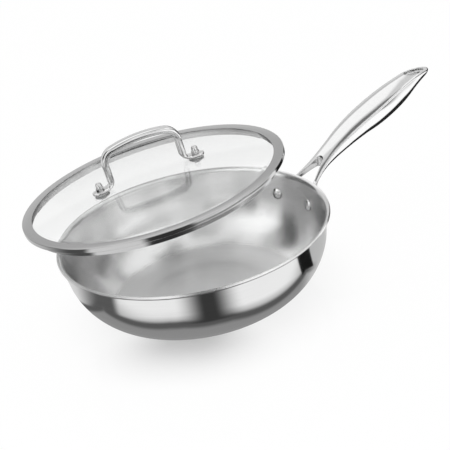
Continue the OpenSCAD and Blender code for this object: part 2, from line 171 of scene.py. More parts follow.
# Clearances
SEAT = 0.1
END_SEAT = 0.3
LID_SEAT = 0.3
PAD_SEAT = 0.1
HOLE_PLAY = 0.15
THREAD_PLAY = 0.05

# Bevels and sharp edges
SHEET_BEVEL = 0.12
GLASS_BEVEL = 0.3
BEVEL_SEGMENTS = 3
BEVEL_ANGLE = math.radians(35)
RIVET_SHARP = math.radians(50)
FITTING_SHARP = math.radians(30)

# Steps of the meshes
TURN_STEPS = 288
SMALL_TURN_STEPS = 96
CORNER_STEPS = 60
LIP_STEPS = 20
DOME_STEPS = 40
CAP_STEPS = 24
TAIL_STEPS = 8
ROLL_STEPS = 6
RING_STEPS = 5
SCREW_HEAD_STEPS = 19
BEND_STEPS = 24
LEG_STEPS = 11
FOOT_STEPS = 7
FOOT_ROUND_STEPS = 19
LOOP_SIDES = 48
LOOP_PASSES = 6
# The long handle's grid: its cell, where it starts, its half width, and its ends under and over
# the ridge. Its start keeps the grid's points off the round end of the fork.
HANDLE_CELL = 0.6
GRID_START = 122.2
GRID_HALF = 40.0
GRID_LOW = -34.0
GRID_HIGH = 9.0
SURFACE_PASSES = 4
SLOPE_STEP = 0.05
RIDGE_STEP = 0.5

# Noise keeps to the middle of its range from 0 to 1
NOISE_RANGE = (0.3, 0.7)
# Brushed metals: how fine their lines are across and along, their ranges of tone and of
# roughness, how much they stretch reflections, and the strength and depth of the lines' relief
METALS = {
    "steel_outside": (1.2, 2.0, (0.72, 0.76), (0.09, 0.13), 0.5, (0.02, 0.0002)),
    "steel_band": (3.0, 2.0, (0.5, 0.54), (0.1, 0.15), 0.6, (0.05, 0.0002)),
    "steel_rivet": (8.0, 1.0, (0.74, 0.78), (0.072, 0.108), 0.3, None),
    "steel_nut": (8.0, 1.0, (0.74, 0.78), (0.056, 0.084), 0.3, None),
    "steel_washer": (8.0, 1.0, (0.68, 0.72), (0.24, 0.36), 0.3, None),
    "steel_screw": (8.0, 1.0, (0.7, 0.74), (0.16, 0.24), 0.3, None),
    "aluminium_core": (6.0, 3.0, (0.78, 0.84), (0.22, 0.3), 0.4, None),
}

# The lamp, in metres and watts, and the world's even light
KEY_PLACE = (-0.9, 0.5, 1.9)
KEY_TARGET = (0, 0, 0.05)
KEY_SIZE = 3.0
KEY_POWER = 6
EVEN_LIGHT = 0.97
WHITE = (1, 1, 1, 1)

# The camera, in metres, placed and tipped as the photograph was taken
CAMERA_PLACE = (-0.58088, -0.99335, 0.62448)
CAMERA_RIGHT = (0.78847, -0.58964, -0.17505)
CAMERA_DOWN = (-0.38871, -0.25712, -0.88476)
CAMERA_FORWARD = (0.47668, 0.76565, -0.43193)
CAMERA_LENS = 104
CAMERA_SENSOR = 36
CAMERA_END = 50

FLOOR_SIZE = 8000.0
FLOOR_GREY = 0.97
FLOOR_ROUGHNESS = 0.12
# The share of plain white that the camera sees in the floor: in the object's shade, beside the
# shade, through the glass, and far off. The shade fades between two radii, and between two angles
# to either side of its azimuth.
FLOOR_WHITE_NEAR = 0.36
FLOOR_WHITE_SIDE = 0.82
FLOOR_WHITE_GLASS = 0.85
FLOOR_WHITE_FAR = 0.96
FLOOR_SHADE_IN = 98.0
FLOOR_SHADE_OUT = 175.0
FLOOR_SHADE_AZIMUTH = 222.0
FLOOR_SHADE_WIDTH = (8.0, 50.0)

# What reflections see of the studio, painted one patch over another on a base tone. Each patch has
# its middle azimuth, width and edge in degrees, then its low end, high end and edge, then its
# tone. In the sky the ends are heights in degrees.
SKY_TONE = 0.78
SKY_PATCHES = [
    (64, 26, 6, 17, 22, 3, 0.62),
    (285, 60, 15, 46, 74, 8, 1.12),
    (345, 66, 20, 48, 78, 8, 1.22),
    (78, 40, 8, 28, 60, 5, 1.2),
    (170, 50, 12, 30, 50, 12, 1.25),
    (161, 20, 12, -20, 31, 5, 1.25),
    (182, 14, 6, 10, 29, 4, 0.3),
    (118, 26, 6, 36, 48, 8, 0.4),
    (118, 34, 1, -20, 37, 3, 0.0),
    (130, 27, 2, -20, 20, 6, 0.0),
    (8, 46, 8, -20, 12, 4, 0.08),
    (296, 26, 6, 4, 19, 3, 1.4),
    (278, 30, 6, 25, 32, 3, 0.14),
    (306, 42, 4, 22, 29, 2, 0.0),
    (350, 24, 6, 25, 29, 2, 0.3),
    (350, 26, 6, 12, 25, 3, 0.12),
    (211, 25, 4, 22, 31, 3, 0.06),
    (208, 16, 5, -20, 10, 5, 1.3),
    (270, 44, 8, -20, 12, 5, 1.3),
    (218, 44, 12, 64, 76, 5, 0.28),
    (60, 130, 10, 68, 76, 3, 0.2),
    (320, 40, 10, 75, 82, 3, 0.1),
    (241, 16, 8, -20, 6, 4, 0.06),
    (325, 12, 4, -20, 10, 6, 0.03),
]
# In reflections the floor's bright sheet ends in straight edges round the pan, and inside them lies
# its painted shade under the pan: the azimuth and distance of each edge. The ends of the floor's
# patches are distances too, scaled so that each edge comes to FLOOR_EDGE_AT. FLOOR_ALL lies past
# the floor's end.
FLOOR_EDGES = [
    (209, 146),
    (222, 146.5),
    (240, 141),
    (249, 140.5),
    (270, 133),
    (340, 142),
    (20, 142),
    (60, 142),
    (95, 142),
    (130, 142),
]
FLOOR_EDGE_AT = 142.0
FLOOR_TONE = 1.1
FLOOR_ALL = 9000
# Reflections alone see these patches. Those that darken the floor within about 146 of the pan are
# painted shade under it; the others are painted bright and dark places of the studio. FLOOR_TONE is
# painted light, brighter than white.
FLOOR_PATCHES = [
    (0, 360, 1, -1, 146, 28, 0.62),
    (318, 60, 10, 260, FLOOR_ALL, 60, 1.3),
    (243, 30, 8, 340, FLOOR_ALL, 60, 0.04),
    (292, 82, 12, 480, 610, 24, 0.12),
    (152, 52, 7, -1, FLOOR_ALL, 1, 0.12),
    (112, 46, 34, -1, FLOOR_ALL, 1, 0.75),
    (0, 360, 1, -1, 140, 3, 0.32),
    (332, 30, 18, 112, 210, 40, 0.6),
    (226, 160, 20, 131, 140, 12, 0.12),
    (240, 5, 18, 139, FLOOR_ALL, 4, 0.05),
    (310, 13, 1.0, 138, 176, 2, 0.01),
    (39, 92, 2, 240, FLOOR_ALL, 4, 0.02),
]

# Worked-out places of the pan's section
LIP_CX = RIM_R + LIP_R * math.cos(LIP_END)
LIP_CZ = PAN_H - (LIP_R + WALL_T) * math.sin(LIP_END)
NECK_X = LIP_CX - LIP_R * math.cos(WALL_LEAN)
NECK_Z = LIP_CZ + LIP_R * math.sin(WALL_LEAN)
CORNER_R = (NECK_X - NECK_Z * math.tan(WALL_LEAN) - BASE_R) / (
    math.cos(WALL_LEAN) - math.tan(WALL_LEAN) * (1 - math.sin(WALL_LEAN))
)
CORNER_TOP = CORNER_R * (1 - math.sin(WALL_LEAN))
HEAD_SEAT = SEAT + RIVET_HEAD_R**2 / (2 * (CORNER_R - WALL_T))

# Worked-out places of the lid, closed and centred on the pan's axis, with 0 under its band
BAND_H = GLASS_T + 2 * BAND_T
LID_Z = LIP_CZ + math.sqrt((LIP_R + WALL_T) ** 2 - (LIP_CX - LID_R) ** 2) + LID_SEAT
DOME_R = LID_R - GLASS_RIM_W
DOME_Z = BAND_T + GLASS_T
SPHERE_R = (DOME_R**2 + DOME_H**2) / (2 * DOME_H)
SPHERE_Z = DOME_Z + DOME_H - SPHERE_R
FOOT_TILT = math.asin(FOOT_SPAN / 2 / SPHERE_R)
FOOT_TOP = SEAT + GASKET_T + FOOT_T + SEAT
UNDER_GLASS = -GLASS_T - SEAT


def moved(x=0.0, y=0.0, z=0.0):
    """Matrix of a move."""
    return Matrix.Translation((x, y, z))


def turned(angle, axis):
    """Matrix of a turn about an axis through the origin."""
    return Matrix.Rotation(angle, 4, axis)


def lifted():
    """Matrix that takes the closed lid to the place where it is held at rest."""
    joint = frame["joints"][0]
    anchor = Vector(joint["pos_m"]) / MM
    back = -math.radians(joint["range_deg"][0])
    return (
        Matrix.Translation(anchor)
        @ turned(back, Vector(joint["axis"]))
        @ Matrix.Translation(-anchor)
        @ moved(z=LID_Z)
    )


def at_foot(side):
    """Matrix of a lid screw's axis, with 0 on the glass's outer side, in the closed lid."""
    return (
        turned(LOOP_AZIMUTH, "Z")
        @ moved(z=SPHERE_Z)
        @ turned(side * FOOT_TILT, "Y")
        @ moved(z=SPHERE_R)
    )


def wall_x(z):
    """Radius of the pan's outer wall at a height on its straight stretch."""
    return NECK_X - (NECK_Z - z) * math.tan(WALL_LEAN)


def at_rivet(side):
    """Matrix of a rivet's axis: 0 is on the wall's outer side and +Z points out."""
    return (
        turned(side * RIVET_SPREAD, "Z")
        @ moved(wall_x(RIVET_Z), 0, RIVET_Z)
        @ turned(math.pi / 2 + WALL_LEAN, "Y")
    )


def arc(cx, cz, radius, start, end, steps):
    """Points of an arc about a centre, with its angles in degrees."""
    angles = np.radians(np.linspace(start, end, steps + 1))
    return [(cx + radius * math.cos(a), cz + radius * math.sin(a)) for a in angles]


def make_mesh(name, points, faces):
    """Smooth-shaded mesh from points in millimetres."""
    mesh = bpy.data.meshes.new(name)
    mesh.from_pydata([tuple(p) for p in np.asarray(points, float) * MM], [], faces)
    mesh.validate()
    mesh.shade_smooth()
    return mesh


def tube_faces(rows, columns):
    """Faces of a tube made of rows of points, each row closed on itself, and of its two ends."""
    faces = []
    for row in range(0, (rows - 1) * columns, columns):
        for j in range(columns):
            k = (j + 1) % columns
            faces.append((row + j, row + k, row + columns + k, row + columns + j))
    faces.append(tuple(range(columns))[::-1])
    faces.append(tuple(range((rows - 1) * columns, rows * columns)))
    return faces


def turn_mesh(name, profile, steps=TURN_STEPS, shape=None):
    """Closed solid turned from a profile of (radius, height) points that runs counter-clockwise.
    shape(radius, angle) may change a radius. Points at radius 0 are merged."""
    points, rings = [], []
    angles = np.linspace(0, 2 * math.pi, steps, endpoint=False)
    for radius, height in profile:
        if radius < 1e-6:
            rings.append([len(points)] * steps)
            points.append((0, 0, height))
            continue
        rings.append(list(range(len(points), len(points) + steps)))
        for a in angles:
            r = shape(radius, a) if shape else radius
            points.append((r * math.cos(a), r * math.sin(a), height))
    faces = []
    for ring, after in zip(rings, rings[1:] + rings[:1]):
        for j in range(steps):
            k = (j + 1) % steps
            face = tuple(dict.fromkeys((ring[j], ring[k], after[k], after[j])))
            if len(face) > 2:
                faces.append(face)
    return make_mesh(name, points, faces)


def add_piece(name, mesh, body, material, place, replaces, bevel=0.0):
    """One piece of the object: its mesh, material, place, body and the CAD nodes that it stands
    for, with a bevel in millimetres."""
    piece = bpy.data.objects.new(name, mesh)
    bpy.context.scene.collection.objects.link(piece)
    mesh.materials.append(material)
    if place is not None:
        shift = place.copy()
        shift.translation *= MM
        piece.matrix_world = shift
    if bevel:
        edge = piece.modifiers.new("edge", "BEVEL")
        edge.width = bevel * MM
        edge.segments = BEVEL_SEGMENTS
        edge.limit_method = "ANGLE"
        edge.angle_limit = BEVEL_ANGLE
        edge.harden_normals = True
    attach(piece, body)
    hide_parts(*replaces)


# Materials


class Nodes:
    """Short way to lay out the nodes of one material or world."""

    def __init__(self, tree):
        self.tree = tree
        tree.nodes.clear()

    def add(self, kind, values=None, **settings):
        node = self.tree.nodes.new("ShaderNode" + kind)
        for key, value in settings.items():
            setattr(node, key, value)
        for key, value in (values or {}).items():
            self.put(node.inputs[key], value)
        return node

    def put(self, socket, value):
        if isinstance(value, bpy.types.NodeSocket):
            self.tree.links.new(value, socket)
        else:
            socket.default_value = value

    def math(self, operation, *values):
        node = self.add("Math", operation=operation)
        for socket, value in zip(node.inputs, values):
            self.put(socket, value)
        return node.outputs[0]

    def remap(self, value, low, high, to_low, to_high, smooth=False):
        node = self.add("MapRange", interpolation_type="SMOOTHSTEP" if smooth else "LINEAR")
        for key, item in zip(
            ("Value", "From Min", "From Max", "To Min", "To Max"),
            (value, low, high, to_low, to_high),
        ):
            self.put(node.inputs[key], item)
        return node.outputs["Result"]

    def spread(self, noise, low, high):
        """Noise spread from one value to another."""
        return self.remap(noise, *NOISE_RANGE, low, high)

    def bump(self, height, strength, depth):
        """Normal of a relief, with its depth in metres."""
        node = self.add("Bump", {"Strength": strength, "Distance": depth, "Height": height})
        return node.outputs[0]

    def mix(self, share, one, two):
        """Two shaders mixed, with a share of the second."""
        return self.add("MixShader", {0: share, 1: one.outputs[0], 2: two.outputs[0]})

    def glow(self, kind, colour, strength=1.0):
        """Shader that gives light: Emission or Background."""
        return self.add(kind, {"Color": colour, "Strength": strength})

    def azimuth(self, x, y):
        """Angle of a direction round the Z axis, in degrees."""
        return self.math("DEGREES", self.math("ARCTAN2", y, x))

    def away(self, azimuth, middle):
        """Degrees between an azimuth and a middle one."""
        turn = self.math("WRAP", self.math("SUBTRACT", azimuth, middle), 180.0, -180.0)
        return self.math("ABSOLUTE", turn)

    def grey(self, value):
        node = self.add("CombineColor")
        for socket in node.inputs:
            self.put(socket, value)
        return node.outputs[0]


def new_material(name):
    """Material with an empty tree, its Nodes helper and its output."""
    material = bpy.data.materials.new(name)
    material.use_nodes = True
    nodes = Nodes(material.node_tree)
    return material, nodes, nodes.add("OutputMaterial")


def polar(nodes):
    """Object coordinates in millimetres: (x, y, z, radius)."""
    split = nodes.add("SeparateXYZ", {0: nodes.add("TexCoord").outputs["Object"]})
    x, y, z = (nodes.math("DIVIDE", s, MM) for s in split.outputs)
    squares = (nodes.math("MULTIPLY", s, s) for s in (x, y))
    return x, y, z, nodes.math("SQRT", nodes.math("ADD", *squares))


def brush_lines(nodes, x, y, radius, across, fineness, sweep):
    """Noise of fine lines that follow circles: quick across them, slow along them."""
    apart = nodes.math("MAXIMUM", radius, 0.01)
    vector = nodes.add(
        "CombineXYZ",
        {
            0: nodes.math("MULTIPLY", nodes.math("DIVIDE", x, apart), sweep),
            1: nodes.math("MULTIPLY", nodes.math("DIVIDE", y, apart), sweep),
            2: nodes.math("MULTIPLY", across, fineness),
        },
    )
    values = {"Vector": vector.outputs[0], "Scale": 1.0, "Detail": 3.0, "Roughness": 0.6}
    return nodes.add("TexNoise", values).outputs["Fac"]


def metal(nodes, output, base, roughness, anisotropic=0.0, normal=None):
    """Metal shader with its uniform values on its own sockets. An anisotropic one is brushed in
    circles about its own axis, so its reflections blur across them."""
    values = {
        "Base Color": base,
        "Metallic": 1.0,
        "Roughness": roughness,
        "Anisotropic": anisotropic,
    }
    if normal is not None:
        values["Normal"] = normal
    if anisotropic:
        values["Anisotropic Rotation"] = 0.25
        values["Tangent"] = nodes.add("Tangent", direction_type="RADIAL", axis="Z").outputs[0]
    nodes.put(output.inputs["Surface"], nodes.add("BsdfPrincipled", values).outputs[0])


def satin_inside():
    """Stainless steel brushed in circles, with a duller turned finish on the floor of the pan and
    faint streaks up its wall. The floor's darker tone is painted shade."""
    material, nodes, output = new_material("steel_inside")
    x, y, z, radius = polar(nodes)
    across = nodes.math("ADD", radius, z)
    fine = brush_lines(nodes, x, y, radius, across, 5.0, 3.0)
    broad = brush_lines(nodes, x, y, radius, across, 0.12, 0.6)
    streaks = brush_lines(nodes, x, y, radius, across, 0.02, 40.0)
    wall = nodes.remap(radius, *FINISH_AND_SHADE_CHANGE, 0.0, 1.0, smooth=True)
    streak = nodes.math("MULTIPLY", wall, nodes.spread(streaks, -0.01, 0.01))
    tone = nodes.math("ADD", nodes.spread(fine, -0.02, 0.02), nodes.spread(broad, -0.01, 0.01))
    tone = nodes.math("ADD", tone, streak)
    # The floor's darker base tone, 0.63 against the wall's 0.75, is painted shade
    base = nodes.math("ADD", nodes.remap(wall, 0.0, 1.0, 0.63, 0.75), tone)
    rough = nodes.remap(wall, 0.0, 1.0, 0.3, 0.235)
    rough = nodes.math("ADD", rough, nodes.spread(fine, -0.02, 0.02))
    metal(nodes, output, nodes.grey(base), rough, 0.85, nodes.bump(fine, 0.015, 0.0001))
    return material


def brushed(name):
    """One of METALS, with lines round its axis. Those of the core show only at the lip's edge and
    depend on height alone."""
    fineness, sweep, tones, roughness, anisotropic, relief = METALS[name]
    material, nodes, output = new_material(name)
    x, y, z, radius = polar(nodes)
    across = z if name == "aluminium_core" else nodes.math("ADD", radius, z)
    lines = brush_lines(nodes, x, y, radius, across, fineness, sweep)
    base = nodes.grey(nodes.spread(lines, *tones))
    normal = nodes.bump(lines, *relief) if relief else None
    metal(nodes, output, base, nodes.spread(lines, *roughness), anisotropic, normal)
    return material


def cast_polished(name):
    """Cast stainless steel polished by hand: soft waviness, faint haze and polishing marks."""
    material, nodes, output = new_material(name)
    place = nodes.add("TexCoord").outputs["Object"]
    wavy = nodes.add("TexNoise", {"Vector": place, "Scale": 45.0, "Detail": 2.0})
    haze = nodes.add("TexNoise", {"Vector": place, "Scale": 260.0, "Detail": 4.0, "Roughness": 0.6})
    base = nodes.grey(nodes.spread(haze.outputs["Fac"], 0.74, 0.78))
    rough = nodes.spread(haze.outputs["Fac"], 0.07, 0.12)
    metal(nodes, output, base, rough, normal=nodes.bump(wavy.outputs["Fac"], 0.05, 0.001))
    return material


def clear_glass():
    """Clear tempered glass. Light passes through it to the pan without a hard shadow."""
    material, nodes, output = new_material("glass_clear")
    place = nodes.add("TexCoord").outputs["Object"]
    wavy = nodes.add("TexNoise", {"Vector": place, "Scale": 12.0, "Detail": 1.0})
    glass = nodes.add(
        "BsdfPrincipled",
        {
            "Base Color": (0.995, 1.0, 0.998, 1),
            "Roughness": 0.0,
            "IOR": 1.5,
            "Transmission Weight": 1.0,
            "Normal": nodes.bump(wavy.outputs["Fac"], 0.02, 0.001),
        },
    )
    clear = nodes.add("BsdfTransparent", {"Color": (0.93, 0.94, 0.94, 1)})
    shadow = nodes.add("LightPath").outputs["Is Shadow Ray"]
    nodes.put(output.inputs["Surface"], nodes.mix(shadow, glass, clear).outputs[0])
    return material


def milky_silicone():
    """Soft translucent gasket."""
    material, nodes, output = new_material("silicone")
    place = nodes.add("TexCoord").outputs["Object"]
    mottle = nodes.add("TexNoise", {"Vector": place, "Scale": 900.0, "Detail": 2.0})
    rough = nodes.spread(mottle.outputs["Fac"], 0.38, 0.5)
    base = nodes.grey(nodes.spread(mottle.outputs["Fac"], 0.78, 0.84))
    shader = nodes.add(
        "BsdfPrincipled",
        {"Base Color": base, "Roughness": rough, "IOR": 1.42, "Transmission Weight": 0.35},
    )
    nodes.put(output.inputs["Surface"], shader.outputs[0])
    return material


# Pan


def wall_line(depth):
    """Section of the pan at a depth under its outer side, from the base's middle to the lip."""
    lean, end = math.degrees(WALL_LEAN), math.degrees(LIP_END)
    corner = arc(BASE_R, CORNER_R, CORNER_R - depth, -90, -lean, CORNER_STEPS)
    lip = arc(LIP_CX, LIP_CZ, LIP_R + depth, 180 - lean, 180 - end, LIP_STEPS)
    return [(0.0, depth), (BASE_R / 2, depth)] + corner + lip


def pan_layer(name, near, far, material):
    """One bonded layer of the pan, between two depths of its wall. It has no rivet holes, because
    the rivets' heads and the pads cover them."""
    mesh = turn_mesh(name, wall_line(near) + wall_line(far)[::-1])
    add_piece(name + "_sheet", mesh, "pan", material, None, (name,), SHEET_BEVEL)


# Long handle, as a field of distances that is negative inside the metal


def smooth_table(table, share):
    """Smooth value of an evenly spaced table at shares of its length."""
    last = len(table) - 1
    ends = [2 * table[0] - table[1], *table, 2 * table[-1] - table[-2]]
    t = np.clip(share, 0, 1) * last
    i = np.minimum(t.astype(int), last - 1)
    t = t - i
    p0, p1, p2, p3 = (np.take(ends, i + k) for k in range(4))
    square = 2 * p0 - 5 * p1 + 4 * p2 - p3
    cube = 3 * (p1 - p2) + p3 - p0
    return p1 + t * (p2 - p0 + t * (square + t * cube)) / 2


def smooth_max(a, b, radius):
    """Larger of two fields, with a rounded edge where they meet."""
    near = np.maximum(radius - np.abs(a - b), 0)
    return np.maximum(a, b) + near * near / (4 * radius)


def smooth_min(a, b, radius):
    """Smaller of two fields, with a filled corner where they meet."""
    return -smooth_max(-a, -b, radius)


def capsule(x, y, end_x, end_y, start_r, end_r):
    """Distance to the flat shape round two circles, one at the origin, and all between them."""
    length = math.hypot(end_x, end_y)
    along = (x * end_x + y * end_y) / length
    across = np.abs(x * end_y - y * end_x) / length
    lean = (start_r - end_r) / length
    run = math.sqrt(1 - lean * lean)
    side = along * run - across * lean
    return np.where(
        side < 0,
        np.hypot(along, across) - start_r,
        np.where(
            side > length * run,
            np.hypot(along - length, across) - end_r,
            along * lean + across * run - start_r,
        ),
    )


def local(place, x, y, z):
    """Coordinates of points in the frame of a placing matrix."""
    m = np.array(place.inverted())
    return tuple(m[i, 0] * x + m[i, 1] * y + m[i, 2] * z + m[i, 3] for i in range(3))


def handle_lines(x):
    """Half width, depth, crown and ridge height of the handle along its length."""
    share = (x - HANDLE_START) / HANDLE_LEN
    past = np.clip((share - 1 + TIP_SHARE) / TIP_SHARE, 0, 0.9999)
    tip = np.sqrt(1 - past * past)
    width = HANDLE_W * smooth_table(WIDTH_SHARE, share) * tip
    depth = HANDLE_DEPTH * smooth_table(DEPTH_SHARE, share) * tip
    ridge = PAN_H + HANDLE_RISE * smooth_table(RISE_SHARE, share)
    return width / 2, depth, width * CROWN_SHARE, ridge


def handle_body_field(x, y, z):
    """The handle without its fork, feet, pocket and holes."""
    half_w, depth, crown, ridge = handle_lines(x)
    ahead, behind = (handle_lines(x + step)[3] for step in (RIDGE_STEP, -RIDGE_STEP))
    slope = (ahead - behind) / (2 * RIDGE_STEP)
    lean = np.sqrt(1 + slope * slope)
    u = np.abs(y) / half_w
    top = (z - ridge - crown * (1 - u * u)) / np.sqrt(lean * lean + (2 * crown * u / half_w) ** 2)
    v = np.maximum(ridge - z, 0) / depth
    q = np.maximum((u**UNDER_POWER + v**UNDER_POWER) ** (1 / UNDER_POWER), 0.2)
    rate = q ** (1 - UNDER_POWER) * np.hypot(
        u ** (UNDER_POWER - 1) / half_w, v ** (UNDER_POWER - 1) * lean / depth
    )
    side = (q - 1) / np.maximum(rate, 0.02)
    body = smooth_max(top, side, BODY_EDGE)
    ends = np.maximum(HANDLE_START - x, x - HANDLE_START - HANDLE_LEN)
    return smooth_max(body, ends, END_EDGE)


def fork_field(x, y):
    """The fork between the prongs, a round end that opens in a wedge towards the pan."""
    px, py = x - FORK_X, np.abs(y)
    along = -px * math.cos(FORK_SPREAD) + py * math.sin(FORK_SPREAD)
    wedge = px * math.sin(FORK_SPREAD) + py * math.cos(FORK_SPREAD) - FORK_R
    return np.where(along > 0, wedge, np.hypot(px, py) - FORK_R)


def foot_field(x, y, z):
    """Riveted pad and the foot that joins it to its prong, on the side of positive y."""
    place = at_rivet(1)
    px, py, pz = local(place, x, y, z)
    pad = smooth_max(
        capsule(px, py, -PAD_UP, -PAD_IN, PAD_R, PAD_TOP_R),
        np.maximum(pz - PAD_T, -PAD_T - pz),
        2 * PAD_EDGE,
    )
    top = place @ Vector((-PAD_UP, -PAD_IN, 0))
    half_w, depth, crown, ridge = (float(v) for v in handle_lines(np.array(HANDLE_START)))
    inner = fork_edge(HANDLE_START)
    end = Vector((HANDLE_START, (half_w + inner) / 2, ridge + (crown - depth) / 2))
    reach = end - top
    x, y, z = x - top.x, y - top.y, z - top.z
    t = np.clip((x * reach.x + y * reach.y + z * reach.z) / reach.length_squared, 0, 1)
    ry = PAD_TOP_R + t * ((half_w - inner) / 2 - PAD_TOP_R)
    rz = PAD_TOP_R + t * ((depth + crown) / 2 - PAD_TOP_R)
    q = np.sqrt(
        ((x - t * reach.x) / PAD_T) ** 2
        + ((y - t * reach.y) / ry) ** 2
        + ((z - t * reach.z) / rz) ** 2
    )
    neck = (q - 1) * np.minimum(ry, rz)
    return smooth_min(pad, neck, NECK_JOIN)


def fork_edge(x):
    """Sideways place of the fork's edge at a distance from the pan's axis."""
    tangent_x = FORK_X + FORK_R * math.sin(FORK_SPREAD)
    return FORK_R * math.cos(FORK_SPREAD) + (tangent_x - x) * math.tan(FORK_SPREAD)


def pan_field(x, y, z):
    """Distance out from the pan's outer side, under its lip."""
    r = np.hypot(x, y)
    straight = (r - wall_x(z)) * math.cos(WALL_LEAN)
    curved = np.hypot(r - BASE_R, z - CORNER_R) - CORNER_R
    return np.where(z < CORNER_TOP, curved, straight)


def hang_place():
    """Matrix of the hanging hole: 0 is on its lower facing."""
    share = 1 - HANG_INSET / HANDLE_LEN
    rise, depth = (float(smooth_table(t, np.array(share))) for t in (RISE_SHARE, DEPTH_SHARE))
    hang_z = PAN_H + HANDLE_RISE * rise - HANDLE_DEPTH * depth + FACING_UP
    return moved(HANDLE_START + HANDLE_LEN - HANG_INSET, 0, hang_z) @ turned(-POCKET_SLOPE, "Y")


def handle_field(x, y, z):
    """The whole long handle."""
    y = np.abs(y)
    field = smooth_max(handle_body_field(x, y, z), -fork_field(x, y), FORK_EDGE)
    field = smooth_min(field, foot_field(x, y, z), FOOT_JOIN)
    field = smooth_max(field, PAD_SEAT - pan_field(x, y, z), PAD_BACK_EDGE)
    px, py, pz = local(at_rivet(1), x, y, z)
    off = np.hypot(px, py)
    shank = RIVET_R + HOLE_PLAY - off
    facing = np.minimum(RIVET_TAIL_R + 2 * HOLE_PLAY - off, pz - PAD_T)
    near_rivet = np.abs(pz) < 3 * PAD_T
    field = np.where(near_rivet, np.maximum(field, np.maximum(shank, facing)), field)
    a, b, h = local(hang_place(), x, y, z)
    pocket = capsule(a, b, -POCKET_LEN, 0, POCKET_R, POCKET_WIDE_R)
    pocket = smooth_max(pocket, HANG_FLOOR_T - h, POCKET_FLOOR_EDGE)
    facing = np.maximum(np.hypot(a, b) - FACING_R, h)
    hole = np.hypot(a, b) - HANG_R
    for cut, edge in ((pocket, POCKET_EDGE), (facing, HOLE_EDGE), (hole, HOLE_EDGE)):
        field = smooth_max(field, -cut, edge)
    vent_x = HANDLE_START + HANDLE_LEN * VENT_SHARE
    _, depth, _, ridge = (float(v) for v in handle_lines(np.array(vent_x)))
    vent = np.maximum(np.hypot(x - vent_x, y) - VENT_R, z - (ridge - depth + VENT_DEPTH))
    return smooth_max(field, -vent, VENT_EDGE)


def net_surface(values, origin, cell):
    """Points and quads of the surface where a grid of values passes zero, one point a cell."""
    inside = values < 0
    shape = np.array(values.shape) - 1
    total = np.zeros((*shape, 3))
    count = np.zeros(shape)
    for axis in range(3):
        others = [k for k in range(3) if k != axis]
        for low in ((0, 0), (0, 1), (1, 0), (1, 1)):
            start = [slice(0, n) for n in shape]
            for k, shift in zip(others, low):
                start[k] = slice(shift, shape[k] + shift)
            end = list(start)
            end[axis] = slice(1, shape[axis] + 1)
            a, b = values[tuple(start)], values[tuple(end)]
            crossed = inside[tuple(start)] != inside[tuple(end)]
            along = np.where(crossed, a / np.where(crossed, a - b, 1), 0)
            count += crossed
            total[..., axis] += along
            for k, shift in zip(others, low):
                total[..., k] += crossed * shift
    active = count > 0
    number = np.full(shape, -1)
    number[active] = np.arange(active.sum())
    corner = np.stack(np.nonzero(active), 1)
    points = (corner + total[active] / count[active][:, None]) * cell + origin
    quads = []
    for axis in range(3):
        one, two = [k for k in range(3) if k != axis]
        start = [slice(1, n) for n in shape]
        start[axis] = slice(0, shape[axis])
        end = list(start)
        end[axis] = slice(1, shape[axis] + 1)
        crossed = np.nonzero(inside[tuple(start)] != inside[tuple(end)])
        base = np.stack(crossed, 1) + np.array([0 if k == axis else 1 for k in range(3)])
        leaving = inside[tuple(base.T)]
        cells = []
        for da, db in ((0, 0), (1, 0), (1, 1), (0, 1)):
            at = base.copy()
            at[:, one] -= da
            at[:, two] -= db
            cells.append(number[tuple(at.T)])
        quad = np.stack(cells, 1)
        flip = leaving if axis == 1 else ~leaving
        quad[flip] = quad[flip][:, ::-1]
        quads.append(quad)
    return points, np.concatenate(quads)


def field_slope(points):
    """The handle's field and its slope at some points."""
    slope = np.empty_like(points)
    for k in range(3):
        shift = np.zeros(3)
        shift[k] = SLOPE_STEP
        ahead, behind = handle_field(*(points + shift).T), handle_field(*(points - shift).T)
        slope[:, k] = (ahead - behind) / (2 * SLOPE_STEP)
    return handle_field(*points.T), slope


def long_handle(material):
    """The cast handle, meshed where its field is zero, with the field's own normals."""
    cell = HANDLE_CELL
    x = np.arange(GRID_START, HANDLE_START + HANDLE_LEN + 2 * cell, cell)
    half = np.arange(0.0, GRID_HALF, cell)
    drop = np.arange(GRID_LOW, GRID_HIGH, cell)
    gx, gy, gd = np.meshgrid(x, half, drop, indexing="ij")
    ridge_line = handle_lines(np.maximum(x, HANDLE_START))[3]
    values = handle_field(gx, gy, gd + ridge_line[:, None, None])
    values = np.concatenate([values[:, :0:-1], values], axis=1)
    points, quads = net_surface(values, np.array([x[0], -half[-1], drop[0]]), cell)
    points[:, 2] += np.interp(points[:, 0], x, ridge_line)
    for _ in range(SURFACE_PASSES):
        value, slope = field_slope(points)
        move = value / np.maximum((slope * slope).sum(1), 0.05)
        points -= slope * np.clip(move, -cell / 2, cell / 2)[:, None]
    _, slope = field_slope(points)
    normals = slope / np.maximum(np.linalg.norm(slope, axis=1), 1e-6)[:, None]
    mesh = make_mesh("long_handle", points, quads.tolist())
    mesh.normals_split_custom_set_from_vertices(normals.tolist())
    add_piece("long_handle_cast", mesh, "pan", material, None, ("long_handle",))


